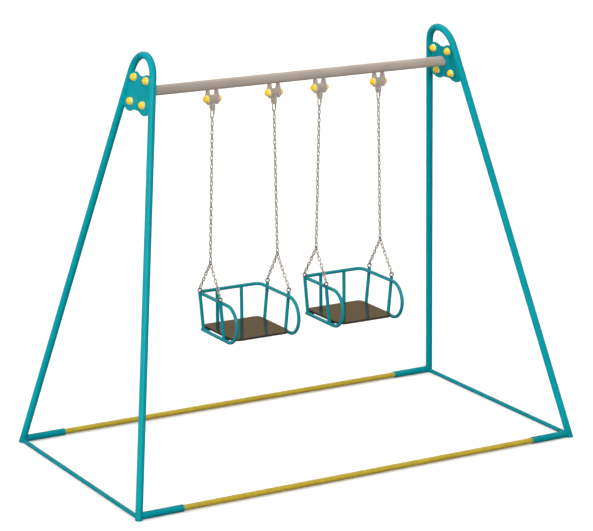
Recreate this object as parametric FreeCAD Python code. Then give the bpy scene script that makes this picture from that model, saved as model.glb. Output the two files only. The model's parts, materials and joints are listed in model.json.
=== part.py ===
import FreeCAD, Part
import math
import os

# Two-seat swing set with chair seats.  Millimetres, +Z up, origin on the ground
# under the middle of the set.  X runs along the crossbeam, -Y is the open front
# of the seats.

V = FreeCAD.Vector
X_AXIS = V(1, 0, 0)
Y_AXIS = V(0, 1, 0)
Z_AXIS = V(0, 0, 1)
SIDES = (("left", -1), ("right", 1))

# --- clearances -------------------------------------------------------------
WELD_GAP = 0.1           # between tubes that are welded to each other
MOVING_GAP = 0.3         # between bodies that turn against each other
RUNNING_FIT = 0.05       # radial, pivot bolt in its bush

# --- A-frames: each lies in a plane that leans in over the swings ------------
LEAN = math.radians(11.0)
FRAME_TUBE_R = 19.0
FRAME_TUBE_WALL = 2.0
TIE_R = 11.0
TIE_WALL = 1.5
TIE_Z = TIE_R
FOOT_X = 1328.8          # half distance between the two ground ties
FOOT_Y = 713.8           # half spread of the legs at the height of the ties
LEG_ANGLE = math.atan(0.27466)
CROWN_R = 125.0          # centreline radius of the bend at the top
BELOW_GROUND = 60.0      # legs are drawn this much too long and cut off level
GROUND_DEPTH = 200.0

# --- ground rails -------------------------------------------------------------
SOCKET_R = 19.0
SOCKET_WALL = 3.0
SOCKET_END_X = 1078.0
GROUND_TUBE_R = 15.0
GROUND_TUBE_WALL = 2.0
GROUND_TUBE_HALF = 1205.0
SCREW_R = 4.0
SCREW_X = 1130.0
SCREW_REACH = 9.0
SCREW_HEAD_AF = 13.0
SCREW_HEAD_H = 5.5

# --- end plates and crossbeam ---------------------------------------------------
BEAM_R = 27.0
BEAM_WALL = 2.5
BEAM_SLOPE = 2060.0      # distance up the A-frame from the tie to the beam
BEAM_Z = TIE_Z + BEAM_SLOPE * math.cos(LEAN)
WEB_T = 5.0
FLANGE_T = 6.0
BOLT_Y = 70.0
BOLT_S = 63.0            # half the height of the bolt pattern
BOLT_RISE = 4.0          # middle of the bolt pattern above the beam
WEB_TOP_LOBE_R = 80.0
WEB_TOP_LOBE_Y = 66.0
WEB_TOP_LOBE_S = 18.0    # lobes and edges, measured up the slope from the beam
WEB_LOW_LOBE_R = 95.0
WEB_LOW_LOBE_Y = 84.0
WEB_LOW_LOBE_S = -16.0
WEB_BOTTOM = -96.0
WEB_TOP = 84.0
WEB_FILLET_R = 13.0
FLANGE_LOBE_R = 31.0
FLANGE_WAIST = 52.0
FLANGE_FILLET_R = 14.0

# --- M12 bolts with washers, nuts and domed plastic covers ----------------------
BOLT_R = 6.0
BOLT_HOLE_R = 6.5
HEAD_AF = 18.0
HEAD_H = 7.5
NUT_H = 10.0
THREAD_END = 2.0
WASHER_R = 12.0
WASHER_T = 2.5
CAP_R = 20.5
CAP_SKIRT = 6.0
CAP_DOME = 20.0
CAP_BORE_R = 12.4
CAP_BORE_H = 14.8

# --- hangers ------------------------------------------------------------------
SWING_X = 325.6          # centre of each swing
HANGER_U = 185.0         # hangers, either side of the swing's centre
PIVOT_Z = 1958.0
EAR_T = 5.0
EAR_IN = 23.0
EAR_R = 31.0
EAR_WAIST_HALF = 17.0    # half width level with the underside of the beam
HOUSING_R = 22.0
HOUSING_HALF = 20.0
BUSH_R = 10.0
BUSH_INNER_END = 2.0
BUSH_FLANGE_R = 15.0
TONGUE_T = 10.0
TONGUE_W = 48.0
TONGUE_SHOULDER_T = 22.0
TONGUE_SHOULDER_W = 34.0
TONGUE_TOP_Z = 1945.0
TONGUE_NECK_Z = 1928.0
TONGUE_BOTTOM_Z = 1895.0
TONGUE_CORNER_R = 17.0
TONGUE_TOP_CORNER_R = 8.0
TONGUE_HOLE_Z = 1907.0
TONGUE_HOLE_R = 7.0

# --- quick links and chains -----------------------------------------------------
QUICK_WIRE = 6.0
QUICK_BOW_R = 9.0
QUICK_LENGTH = 50.0      # centreline length, bow to bow
QUICK_TOP_Z = 1906.0
SLEEVE_AF = 9.0
SLEEVE_LENGTH = 14.0
SLEEVE_DROP = 22.0       # middle of the sleeve below the upper bow
LINK_WIRE = 5.0
LINK_INNER_W = 8.0
LINK_GAP = 0.3           # slack at each pair of links
MAIN_LINKS = 34
BRIDLE_LINKS = 9
SPLIT_Z = 1078.0         # where the main chain parts into two bridle chains
SPLIT_RING_R = 10.5

# --- seats ------------------------------------------------------------------------
SEAT_TUBE_R = 9.5
SEAT_TUBE_WALL = 1.5
EYE_WIRE_R = 3.0
EYE_RING_R = 11.0
EYE_U = 208.5
POST_Y = 116.0
POST_TOP_Z = 883.0
POST_CAP_T = 3.0
EYE_Z = POST_TOP_Z + EYE_RING_R + EYE_WIRE_R + WELD_GAP
RAIL_U = 188.0
RAIL_Z = 872.0
LOW_RAIL_Z = 672.0
HOOP_FRONT_Y = -160.0    # where the straight rails run into the front bend
HOOP_R = (RAIL_Z - LOW_RAIL_Z) / 2
LOW_RAIL_END_Y = 131.0
BACK_RAIL_Y = 170.0
BACK_CORNER_R = 36.0
BACK_POST_U = 75.0
BACK_FOOT_Y = 166.0
BACK_FOOT_Z = 659.0      # the back posts end a little below their brackets
PLANK_HALF_W = 176.0
PLANK_FRONT_Y = -204.0
PLANK_BACK_Y = 155.0
PLANK_T = 12.0
PLANK_TOP_Z = LOW_RAIL_Z + SEAT_TUBE_R + WELD_GAP + PLANK_T
PLANK_FRONT_CORNER_R = 50.0
PLANK_BACK_CORNER_R = 30.0
PLANK_RIM_R = 2.0
BEARER_Y = (-100.0, 119.0)
PLANK_SCREW_U = 125.0
PLANK_SCREW_R = 4.0
PLANK_SCREW_COVER = 4.0  # plank left above the end of each blind screw hole
PLANK_HEAD_AF = 13.0
PLANK_HEAD_H = 5.5
PLANK_WASHER_R = 8.0
PLANK_WASHER_T = 1.6


# --- small shape helpers ------------------------------------------------------------
def cylinder(radius, start, end):
    """Solid cylinder between two points."""
    line = end - start
    return Part.makeCylinder(radius, line.Length, start, line)


def tube(radius, wall, start, end):
    """Open-ended straight tube."""
    return cylinder(radius, start, end).cut(cylinder(radius - wall, start, end))


def swept(radius, edges):
    """Round bar that follows a smooth path."""
    path = Part.Wire(edges)
    start = edges[0].valueAt(edges[0].FirstParameter)
    heading = edges[0].tangentAt(edges[0].FirstParameter)
    section = Part.Wire(Part.makeCircle(radius, start, heading))
    return path.makePipeShell([section], True, False)


def swept_tube(radius, wall, edges):
    """Bent tube that follows a smooth path."""
    return swept(radius, edges).cut(swept(radius - wall, edges))


def line(start, end):
    return Part.LineSegment(start, end).toShape()


def arc(start, middle, end):
    return Part.Arc(start, middle, end).toShape()


def largest(shape):
    """The biggest solid of a cut that may leave offcuts."""
    return max(shape.Solids, key=lambda solid: solid.Volume)


def placed(shape, x_dir, y_dir, z_dir, origin):
    """Copy of a shape, its own axes turned to the three directions."""
    matrix = FreeCAD.Matrix(
        x_dir.x, y_dir.x, z_dir.x, origin.x,
        x_dir.y, y_dir.y, z_dir.y, origin.y,
        x_dir.z, y_dir.z, z_dir.z, origin.z,
        0, 0, 0, 1)
    copy = shape.copy()
    copy.Placement = FreeCAD.Placement(matrix)
    return copy


def mirrored(shape, side):
    """The shape itself on the right, its mirror image on the left."""
    return shape if side > 0 else shape.mirror(V(0, 0, 0), X_AXIS)


def moved(shape, x, y=0.0, z=0.0):
    copy = shape.copy()
    copy.translate(V(x, y, z))
    return copy


def prism(points, height):
    """Straight-sided block on a polygon drawn in the XY plane."""
    outline = Part.makePolygon(points + [points[0]])
    return Part.Face(outline).extrude(V(0, 0, height))


def hexagon(across_flats, height):
    """Hexagonal block standing on the XY plane."""
    corner = across_flats / math.sqrt(3)
    angles = [math.radians(60 * k) for k in range(6)]
    points = [V(corner * math.cos(a), corner * math.sin(a), 0) for a in angles]
    return prism(points, height)


def save(name, solids):
    """Write one sub-part, one solid or a group of separate solids."""
    shape = solids[0] if len(solids) == 1 else Part.makeCompound(solids)
    for solid in solids:
        if not solid.isValid() or solid.Volume <= 0:
            raise ValueError("bad solid in " + name)
    shape.exportStep("parts/" + name + ".step")


# --- the leaning plane of the right A-frame ------------------------------------------
def on_frame(shape):
    """Place a shape drawn as (y, up the slope, outwards) on the right A-frame."""
    up = V(-math.sin(LEAN), 0, math.cos(LEAN))
    out = V(math.cos(LEAN), 0, math.sin(LEAN))
    return placed(shape, Y_AXIS, up, out, V(FOOT_X, 0, TIE_Z))


def frame_path():
    """Centreline of the A-frame tube, drawn in its own plane."""
    cos_a = math.cos(LEG_ANGLE)
    sin_a = math.sin(LEG_ANGLE)
    crown_s = (FOOT_Y * cos_a - CROWN_R) / sin_a
    foot_y = FOOT_Y + BELOW_GROUND * math.tan(LEG_ANGLE)
    turn_y = CROWN_R * cos_a
    turn_s = crown_s + CROWN_R * sin_a
    top = V(0, crown_s + CROWN_R, 0)
    rise = line(V(-foot_y, -BELOW_GROUND, 0), V(-turn_y, turn_s, 0))
    bend = arc(V(-turn_y, turn_s, 0), top, V(turn_y, turn_s, 0))
    fall = line(V(turn_y, turn_s, 0), V(foot_y, -BELOW_GROUND, 0))
    return [rise, bend, fall]


def ground_cut():
    size = 4 * FOOT_X
    return Part.makeBox(size, size, GROUND_DEPTH, V(-size / 2, -size / 2, -GROUND_DEPTH))


def a_frame_tube():
    """One bent tube: two legs joined by a round crown, cut level at the ground."""
    drawn = swept_tube(FRAME_TUBE_R, FRAME_TUBE_WALL, frame_path())
    return on_frame(drawn).cut(ground_cut())


def leg_envelope():
    """Space that tubes welded to the A-frame leave free for it."""
    return on_frame(swept(FRAME_TUBE_R + WELD_GAP, frame_path()))


def ground_tie(envelope):
    """Thin tube on the ground between the two legs of the right A-frame."""
    span = tube(TIE_R, TIE_WALL, V(FOOT_X, -FOOT_Y, TIE_Z), V(FOOT_X, FOOT_Y, TIE_Z))
    return largest(span.cut(envelope))


def leg_centre(z):
    """Centre of the right back leg at a height above the ground."""
    slope = (z - TIE_Z) / math.cos(LEAN)
    x = FOOT_X - slope * math.sin(LEAN)
    y = FOOT_Y - slope * math.tan(LEG_ANGLE)
    return V(x, y, z)


def screw_hole(x, y):
    """Hole for a fixing screw through the far wall of a ground rail."""
    start = V(x, y + SCREW_REACH, SOCKET_R)
    return cylinder(SCREW_R + MOVING_GAP, start, V(x, y + SOCKET_R + SCREW_REACH, SOCKET_R))


def socket(envelope, front_back):
    """Open sleeve welded to the foot of a leg of the right A-frame."""
    centre = leg_centre(SOCKET_R)
    y = front_back * centre.y
    foot_end = V(FOOT_X - TIE_R - 2 * WELD_GAP, y, SOCKET_R)
    drawn = tube(SOCKET_R, SOCKET_WALL, V(SOCKET_END_X, y, SOCKET_R), foot_end)
    joined = largest(drawn.cut(envelope))
    return joined.cut(screw_hole(SCREW_X, y))


def ground_tube(front_back):
    """Long tube on the ground whose ends slide into the sleeves."""
    y = front_back * leg_centre(SOCKET_R).y
    start = V(-GROUND_TUBE_HALF, y, SOCKET_R)
    end = V(GROUND_TUBE_HALF, y, SOCKET_R)
    drawn = tube(GROUND_TUBE_R, GROUND_TUBE_WALL, start, end)
    for side in (-1, 1):
        drawn = drawn.cut(screw_hole(side * SCREW_X, y))
    return drawn


def socket_screw(side, front_back):
    """Hexagon-head screw through a sleeve and the tube inside it."""
    y = front_back * leg_centre(SOCKET_R).y
    shank = Part.makeCylinder(SCREW_R, SOCKET_R - SCREW_REACH + MOVING_GAP)
    head = hexagon(SCREW_HEAD_AF, SCREW_HEAD_H)
    head.translate(V(0, 0, SOCKET_R - SCREW_REACH + MOVING_GAP))
    base = V(side * SCREW_X, y + SCREW_REACH, SOCKET_R)
    return placed(shank.fuse(head).removeSplitter(), Z_AXIS, X_AXIS, Y_AXIS, base)


# --- bolted joint between the A-frame and the crossbeam -------------------------------
def bolt_spots():
    middle = BEAM_SLOPE + BOLT_RISE
    return [(y, middle + s) for y in (-BOLT_Y, BOLT_Y) for s in (-BOLT_S, BOLT_S)]


def disc(radius, y, s, low, high):
    return Part.makeCylinder(radius, high - low, V(y, s, low))


def bolt_holes(low, high):
    holes = [disc(BOLT_HOLE_R, y, s, low - 1, high + 1) for y, s in bolt_spots()]
    return Part.makeCompound(holes)


def softened(plate, radius):
    """Round the inner corners where lobes meet the body of a plate."""
    sharp = []
    for edge in plate.Edges:
        ends = [vertex.Point for vertex in edge.Vertexes]
        if len(ends) == 2 and abs((ends[1] - ends[0]).normalize().z) > 0.999:
            if abs(ends[0].x) < BOLT_Y:
                sharp.append(edge)
    return plate.makeFillet(radius, sharp) if sharp else plate


def web_plate(envelope):
    """Lobed plate welded between the legs of the right A-frame."""
    low = -WEB_T / 2
    foot = BEAM_SLOPE + WEB_BOTTOM
    hip = BEAM_SLOPE + WEB_LOW_LOBE_S
    top = BEAM_SLOPE + WEB_TOP
    wide = FOOT_Y - hip * math.tan(LEG_ANGLE)
    narrow = FOOT_Y - top * math.tan(LEG_ANGLE)
    corners = [V(-WEB_LOW_LOBE_Y, foot, low), V(WEB_LOW_LOBE_Y, foot, low), V(wide, hip, low),
               V(narrow, top, low), V(-narrow, top, low), V(-wide, hip, low)]
    plate = prism(corners, WEB_T)
    for side in (-1, 1):
        high_s = BEAM_SLOPE + WEB_TOP_LOBE_S
        upper = disc(WEB_TOP_LOBE_R, side * WEB_TOP_LOBE_Y, high_s, low, -low)
        lower = disc(WEB_LOW_LOBE_R, side * WEB_LOW_LOBE_Y, hip, low, -low)
        plate = plate.fuse([upper, lower])
    plate = softened(plate.removeSplitter(), WEB_FILLET_R)
    plate = plate.cut(bolt_holes(low, -low))
    return largest(on_frame(plate).cut(envelope))


def beam_flange():
    """Four-lobed plate on the end of the crossbeam, against the web plate."""
    high = -WEB_T / 2
    low = high - FLANGE_T
    middle = BEAM_SLOPE + BOLT_RISE
    waist = [V(-BOLT_Y, middle - FLANGE_WAIST, low), V(BOLT_Y, middle - FLANGE_WAIST, low),
             V(BOLT_Y, middle + FLANGE_WAIST, low), V(-BOLT_Y, middle + FLANGE_WAIST, low)]
    plate = prism(waist, FLANGE_T)
    lobes = [disc(FLANGE_LOBE_R, y, s, low, high) for y, s in bolt_spots()]
    plate = softened(plate.fuse(lobes).removeSplitter(), FLANGE_FILLET_R)
    return on_frame(plate.cut(bolt_holes(low, high)))


def crossbeam():
    """Round tube between the two flanges, its ends cut to their lean."""
    drawn = tube(BEAM_R, BEAM_WALL, V(-FOOT_X, 0, BEAM_Z), V(FOOT_X, 0, BEAM_Z))
    face = -WEB_T / 2 - FLANGE_T - WELD_GAP
    half = FOOT_X - SOCKET_END_X
    corner = V(-half, BEAM_SLOPE - half, face)
    beyond = on_frame(Part.makeBox(2 * half, 2 * half, FOOT_X, corner))
    for side in (-1, 1):
        drawn = drawn.cut(mirrored(beyond, side))
    return drawn


def hex_bolt(grip):
    """Bolt along +Z: the head stands on z = 0, the shank points down."""
    length = grip + 2 * WASHER_T + NUT_H + THREAD_END
    shank = Part.makeCylinder(BOLT_R, length, V(0, 0, -length))
    return hexagon(HEAD_AF, HEAD_H).fuse(shank).removeSplitter()


def washer(z):
    ring = Part.makeCylinder(WASHER_R, WASHER_T, V(0, 0, z))
    return ring.cut(Part.makeCylinder(BOLT_HOLE_R, WASHER_T, V(0, 0, z)))


def nut(z):
    """Plain hexagon nut, its lower face at z."""
    block = hexagon(HEAD_AF, NUT_H)
    block.translate(V(0, 0, z))
    return block.cut(Part.makeCylinder(BOLT_R + RUNNING_FIT, NUT_H, V(0, 0, z)))


def bolt_set(grip):
    """Bolt, washers and nut through a joint whose outer face is at z = 0."""
    bolt = hex_bolt(grip)
    bolt.translate(V(0, 0, WASHER_T))
    nuts = [washer(0), washer(-grip - WASHER_T), nut(-grip - WASHER_T - NUT_H)]
    return bolt, nuts


def bolt_cap():
    """Domed plastic cover that stands on z = 0."""
    skirt = Part.makeCylinder(CAP_R, CAP_SKIRT)
    ball_r = (CAP_R ** 2 + CAP_DOME ** 2) / (2 * CAP_DOME)
    ball = Part.makeSphere(ball_r, V(0, 0, CAP_SKIRT + CAP_DOME - ball_r))
    keep = Part.makeCylinder(CAP_R, CAP_DOME, V(0, 0, CAP_SKIRT))
    whole = skirt.fuse(ball.common(keep)).removeSplitter()
    return whole.cut(Part.makeCylinder(CAP_BORE_R, CAP_BORE_H))


def cap_pair(grip):
    """Covers over the head and over the nut of one bolt."""
    return [bolt_cap(), placed(bolt_cap(), X_AXIS, Y_AXIS * -1, Z_AXIS * -1, V(0, 0, -grip))]


def flange_fasteners():
    """The eight bolts that hold the crossbeam, with their nuts and covers."""
    bolts = []
    nuts = []
    caps = []
    grip = WEB_T + FLANGE_T
    for y, s in bolt_spots():
        spot = V(y, s, WEB_T / 2)
        bolt, rings = bolt_set(grip)
        for side in (-1, 1):
            bolts.append(mirrored(on_frame_at(bolt, spot), side))
            nuts += [mirrored(on_frame_at(piece, spot), side) for piece in rings]
            caps += [mirrored(on_frame_at(piece, spot), side) for piece in cap_pair(grip)]
    return bolts, nuts, caps


def on_frame_at(shape, spot):
    """Place a shape drawn along +Z at a spot of the right A-frame's plane."""
    up = V(-math.sin(LEAN), 0, math.cos(LEAN))
    out = V(math.cos(LEAN), 0, math.sin(LEAN))
    origin = V(FOOT_X, 0, TIE_Z) + Y_AXIS * spot.x + up * spot.y + out * spot.z
    copy = shape.copy()
    matrix = FreeCAD.Matrix(
        0, up.x, out.x, origin.x,
        1, up.y, out.y, origin.y,
        0, up.z, out.z, origin.z,
        0, 0, 0, 1)
    copy.Placement = FreeCAD.Placement(matrix).multiply(copy.Placement)
    return copy


# --- hangers ---------------------------------------------------------------------------
def hanger_places():
    """Name, centre and outward direction of each hanger."""
    places = []
    for name, side in SIDES:
        places.append((name + "_outer", side * (SWING_X + HANGER_U), side))
        places.append((name + "_inner", side * (SWING_X - HANGER_U), -side))
    return places


def hanger_ear(x):
    """Rounded plate welded under the crossbeam."""
    round_end = cylinder(EAR_R, V(x, 0, PIVOT_Z), V(x + EAR_T, 0, PIVOT_Z))
    rise = BEAM_Z - BEAM_R - PIVOT_Z
    reach = math.hypot(EAR_WAIST_HALF, rise)
    angle = math.atan2(rise, EAR_WAIST_HALF) - math.acos(EAR_R / reach)
    neck_y = EAR_R * math.cos(angle)
    neck_z = PIVOT_Z + EAR_R * math.sin(angle)
    top_y = neck_y - (BEAM_Z - neck_z) * math.tan(angle)
    corners = [V(x, -top_y, BEAM_Z), V(x, top_y, BEAM_Z), V(x, neck_y, neck_z),
               V(x, -neck_y, neck_z), V(x, -top_y, BEAM_Z)]
    neck = Part.Face(Part.makePolygon(corners)).extrude(V(EAR_T, 0, 0))
    whole = round_end.fuse(neck).removeSplitter()
    beam = cylinder(BEAM_R + WELD_GAP, V(x - EAR_T, 0, BEAM_Z), V(x + 2 * EAR_T, 0, BEAM_Z))
    hole = cylinder(BOLT_HOLE_R, V(x - EAR_T, 0, PIVOT_Z), V(x + 2 * EAR_T, 0, PIVOT_Z))
    return largest(whole.cut(beam).cut(hole))


def hanger_fasteners():
    """Pivot bolts, nuts and covers of the four hangers."""
    bolts = []
    nuts = []
    caps = []
    grip = 2 * (EAR_IN + EAR_T)
    bolt, rings = bolt_set(grip)
    for name, x, out in hanger_places():
        origin = V(x + out * grip / 2, 0, PIVOT_Z)
        bolts.append(laid_out(bolt, out, origin))
        nuts += [laid_out(piece, out, origin) for piece in rings]
        caps += [laid_out(piece, out, origin) for piece in cap_pair(grip)]
    return bolts, nuts, caps


def laid_out(shape, out, origin):
    """Lay a shape drawn along +Z so that +Z points outwards along X."""
    turn = FreeCAD.Rotation(Z_AXIS, X_AXIS * out)
    copy = shape.copy()
    copy.Placement = FreeCAD.Placement(origin, turn).multiply(copy.Placement)
    return copy


def hanger_bushes(x):
    """Two flanged plastic bushes pressed into the ends of the housing."""
    bushes = []
    for end in (-1, 1):
        inner = V(x + end * BUSH_INNER_END, 0, PIVOT_Z)
        face = V(x + end * HOUSING_HALF, 0, PIVOT_Z)
        outer = V(x + end * (EAR_IN - MOVING_GAP), 0, PIVOT_Z)
        body = cylinder(BUSH_R - RUNNING_FIT, inner, face)
        flange = cylinder(BUSH_FLANGE_R, face, outer)
        bore = cylinder(BOLT_R + RUNNING_FIT, inner, outer)
        bushes.append(body.fuse(flange).removeSplitter().cut(bore))
    return bushes


def rectangle(half_x, half_y, z):
    """Level outline, a section of a tapered block."""
    return Part.makePolygon([V(-half_x, -half_y, z), V(half_x, -half_y, z), V(half_x, half_y, z),
                             V(-half_x, half_y, z), V(-half_x, -half_y, z)])


def hanger_housing(x):
    """Barrel that turns on the pivot bolt, with the tongue that carries the chain."""
    barrel = cylinder(HOUSING_R, V(-HOUSING_HALF, 0, PIVOT_Z), V(HOUSING_HALF, 0, PIVOT_Z))
    shoulder = Part.makeLoft([rectangle(TONGUE_T / 2, TONGUE_SHOULDER_W / 2, TONGUE_NECK_Z),
                              rectangle(TONGUE_SHOULDER_T / 2, TONGUE_SHOULDER_W / 2, TONGUE_TOP_Z)],
                             True, True)
    half_t = TONGUE_T / 2
    height = TONGUE_TOP_Z - TONGUE_BOTTOM_Z
    blade = Part.makeBox(TONGUE_T, TONGUE_W, height, V(-half_t, -TONGUE_W / 2, TONGUE_BOTTOM_Z))
    for z, radius in ((TONGUE_BOTTOM_Z, TONGUE_CORNER_R), (TONGUE_TOP_Z, TONGUE_TOP_CORNER_R)):
        level = [e for e in blade.Edges if abs(e.CenterOfMass.z - z) < WELD_GAP]
        blade = blade.makeFillet(radius, [e for e in level if e.BoundBox.XLength > half_t])
    whole = barrel.fuse([shoulder, blade]).removeSplitter()
    bore = cylinder(BUSH_R, V(-HOUSING_HALF - 1, 0, PIVOT_Z), V(HOUSING_HALF + 1, 0, PIVOT_Z))
    hole = cylinder(TONGUE_HOLE_R, V(-half_t - 1, 0, TONGUE_HOLE_Z), V(half_t + 1, 0, TONGUE_HOLE_Z))
    return moved(whole.cut(bore).cut(hole), x)


# --- links, rings and chains ---------------------------------------------------------------
def oval_link(wire, bow_r, half_straight):
    """Closed link along Z, its width along X."""
    radius = wire / 2
    top = Part.makeTorus(bow_r, radius, V(0, 0, 0), Z_AXIS, -180, 180, 180)
    upper = placed(top, X_AXIS, Z_AXIS, Y_AXIS * -1, V(0, 0, half_straight))
    lower = placed(top, X_AXIS, Z_AXIS * -1, Y_AXIS, V(0, 0, -half_straight))
    legs = [cylinder(radius, V(x, 0, -half_straight), V(x, 0, half_straight)) for x in (-bow_r, bow_r)]
    return upper.fuse([lower] + legs).removeSplitter()


def chain_link(inner_length):
    bow_r = (LINK_INNER_W + LINK_WIRE) / 2
    half_straight = (inner_length - LINK_INNER_W) / 2
    return oval_link(LINK_WIRE, bow_r, half_straight)


def chain(first, last, count, start_angle, twist):
    """Interlocked links whose inner end faces lie between two points."""
    run = last - first
    heading = V(run).normalize()
    inner_length = (run.Length + (count - 1) * LINK_GAP) / count
    across = (X_AXIS - heading * X_AXIS.dot(heading)).normalize()
    third = heading.cross(across)
    link = chain_link(inner_length)
    links = []
    for k in range(count):
        angle = math.radians(start_angle + k * (90.0 + twist))
        width = across * math.cos(angle) + third * math.sin(angle)
        normal = heading.cross(width)
        centre = first + heading * (inner_length / 2 + k * (inner_length - LINK_GAP))
        links.append(placed(link, width, normal, heading, centre))
    return links


def chain_x(x, out, z):
    """Where the leaning chain of a hanger is at a height."""
    lean = (EYE_U - HANGER_U) / (QUICK_TOP_Z - EYE_Z - EYE_RING_R)
    return x + out * lean * (QUICK_TOP_Z - z)


def quick_link(x, out):
    """Oval connector through the tongue's hole, and its threaded sleeve."""
    half = QUICK_LENGTH / 2
    body = oval_link(QUICK_WIRE, QUICK_BOW_R, half - QUICK_BOW_R)
    sleeve = hexagon(SLEEVE_AF, SLEEVE_LENGTH)
    sleeve.translate(V(QUICK_BOW_R, 0, half - SLEEVE_DROP - SLEEVE_LENGTH / 2))
    bore = cylinder(QUICK_WIRE / 2 + RUNNING_FIT, V(QUICK_BOW_R, 0, -half), V(QUICK_BOW_R, 0, half))
    sleeve = sleeve.cut(bore)
    top = V(x, 0, QUICK_TOP_Z)
    up = (top - V(chain_x(x, out, SPLIT_Z), 0, SPLIT_Z)).normalize()
    centre = top - up * half
    across = Y_AXIS.cross(up)
    return [placed(piece, across, Y_AXIS, up, centre) for piece in (body, sleeve)]


def main_chain(x, out):
    """Chain from the quick link down to the ring where it parts."""
    top = V(x, 0, QUICK_TOP_Z)
    down = (V(chain_x(x, out, SPLIT_Z), 0, SPLIT_Z) - top).normalize()
    first = top + down * (QUICK_LENGTH - QUICK_WIRE / 2 - LINK_GAP / 2)
    last = V(chain_x(x, out, SPLIT_Z), 0, SPLIT_Z) - down * (LINK_WIRE / 2)
    return chain(first, last, MAIN_LINKS, 90.0, 0.0)


def split_ring_centre(x, out):
    z = SPLIT_Z + LINK_WIRE + LINK_GAP / 2 - SPLIT_RING_R
    return V(chain_x(x, out, z), 0, z)


def split_ring(x, out):
    """Round ring that hangs in the last link of a main chain."""
    return Part.makeTorus(SPLIT_RING_R, LINK_WIRE / 2, split_ring_centre(x, out), X_AXIS)


def eye_centre(seat_x, u_side, y_side):
    return V(seat_x + u_side * EYE_U, y_side * POST_Y, EYE_Z)


def bridle_chain(x, out, seat_x, y_side):
    """Short chain from the split ring to an eye on a seat post."""
    ring = split_ring_centre(x, out)
    eye_top = eye_centre(seat_x, out, y_side) + Z_AXIS * EYE_RING_R
    heading = (eye_top - ring).normalize()
    first = ring + heading * (SPLIT_RING_R - LINK_WIRE / 2 - LINK_GAP / 2)
    last = eye_top + heading * (EYE_WIRE_R + LINK_GAP / 2)
    twist = y_side * out * 90.0 / (BRIDLE_LINKS - 1)
    return chain(first, last, BRIDLE_LINKS, 0.0, twist)


# --- seats -----------------------------------------------------------------------------------
def side_hoop(seat_x, side):
    """Side of the seat frame: low rail, round front bend and top rail in one tube."""
    x = seat_x + side * RAIL_U
    low = line(V(x, LOW_RAIL_END_Y, LOW_RAIL_Z), V(x, HOOP_FRONT_Y, LOW_RAIL_Z))
    middle = V(x, HOOP_FRONT_Y - HOOP_R, LOW_RAIL_Z + HOOP_R)
    front = arc(V(x, HOOP_FRONT_Y, LOW_RAIL_Z), middle, V(x, HOOP_FRONT_Y, RAIL_Z))
    end_y = BACK_RAIL_Y - BACK_CORNER_R - WELD_GAP
    top = line(V(x, HOOP_FRONT_Y, RAIL_Z), V(x, end_y, RAIL_Z))
    return swept_tube(SEAT_TUBE_R, SEAT_TUBE_WALL, [low, front, top])


def back_rail(seat_x):
    """Top rail behind the seat with its two round corners."""
    straight = RAIL_U - BACK_CORNER_R
    side_y = BACK_RAIL_Y - BACK_CORNER_R
    bulge = BACK_CORNER_R * math.sqrt(0.5)
    left = arc(V(-RAIL_U, side_y, RAIL_Z), V(-straight - bulge, side_y + bulge, RAIL_Z),
               V(-straight, BACK_RAIL_Y, RAIL_Z))
    middle = line(V(-straight, BACK_RAIL_Y, RAIL_Z), V(straight, BACK_RAIL_Y, RAIL_Z))
    right = arc(V(straight, BACK_RAIL_Y, RAIL_Z), V(straight + bulge, side_y + bulge, RAIL_Z),
                V(RAIL_U, side_y, RAIL_Z))
    return moved(swept_tube(SEAT_TUBE_R, SEAT_TUBE_WALL, [left, middle, right]), seat_x)


def along_rail(x):
    """Space of a low side rail, which tubes welded to it leave free."""
    return cylinder(SEAT_TUBE_R + WELD_GAP, V(x, -SWING_X, LOW_RAIL_Z), V(x, SWING_X, LOW_RAIL_Z))


def across_seat(seat_x, y, z):
    """Space of a rail across the seat, which tubes welded to it leave free."""
    half = 2 * BACK_POST_U
    return cylinder(SEAT_TUBE_R + WELD_GAP, V(seat_x - half, y, z), V(seat_x + half, y, z))


def closed_post(open_end, closed_end, landing):
    """Post with one closed end, its open end cut to sit on another tube."""
    heading = (closed_end - open_end).normalize()
    outer = cylinder(SEAT_TUBE_R, open_end, closed_end)
    bore = cylinder(SEAT_TUBE_R - SEAT_TUBE_WALL, open_end, closed_end - heading * POST_CAP_T)
    return largest(outer.cut(bore).cut(landing))


def side_post_ends(seat_x):
    """Foot and top of the four side posts."""
    return [(V(seat_x + side * RAIL_U, y, LOW_RAIL_Z), V(seat_x + side * EYE_U, y, POST_TOP_Z))
            for side in (-1, 1) for y in (-POST_Y, POST_Y)]


def back_post_ends(seat_x):
    """Foot and top of the two posts under the back rail."""
    return [(V(seat_x + side * BACK_POST_U, BACK_FOOT_Y, BACK_FOOT_Z),
             V(seat_x + side * BACK_POST_U, BACK_RAIL_Y, RAIL_Z)) for side in (-1, 1)]


def posts(seat_x):
    """Four side posts under the eyes and two posts under the back rail."""
    made = [closed_post(foot, top, along_rail(foot.x)) for foot, top in side_post_ends(seat_x)]
    rail = across_seat(seat_x, BACK_RAIL_Y, RAIL_Z)
    made += [closed_post(top, foot, rail) for foot, top in back_post_ends(seat_x)]
    return made


def plank_screw_spots(seat_x):
    return [(seat_x + side * PLANK_SCREW_U, y) for side in (-1, 1) for y in BEARER_Y]


def plank_holes(seat_x, clearance):
    """Space of the seat screws: through the bearers and blind into the plank."""
    radius = PLANK_SCREW_R + clearance
    low_z = LOW_RAIL_Z - 2 * SEAT_TUBE_R
    high_z = PLANK_TOP_Z - PLANK_SCREW_COVER
    return [cylinder(radius, V(x, y, low_z), V(x, y, high_z)) for x, y in plank_screw_spots(seat_x)]


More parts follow.
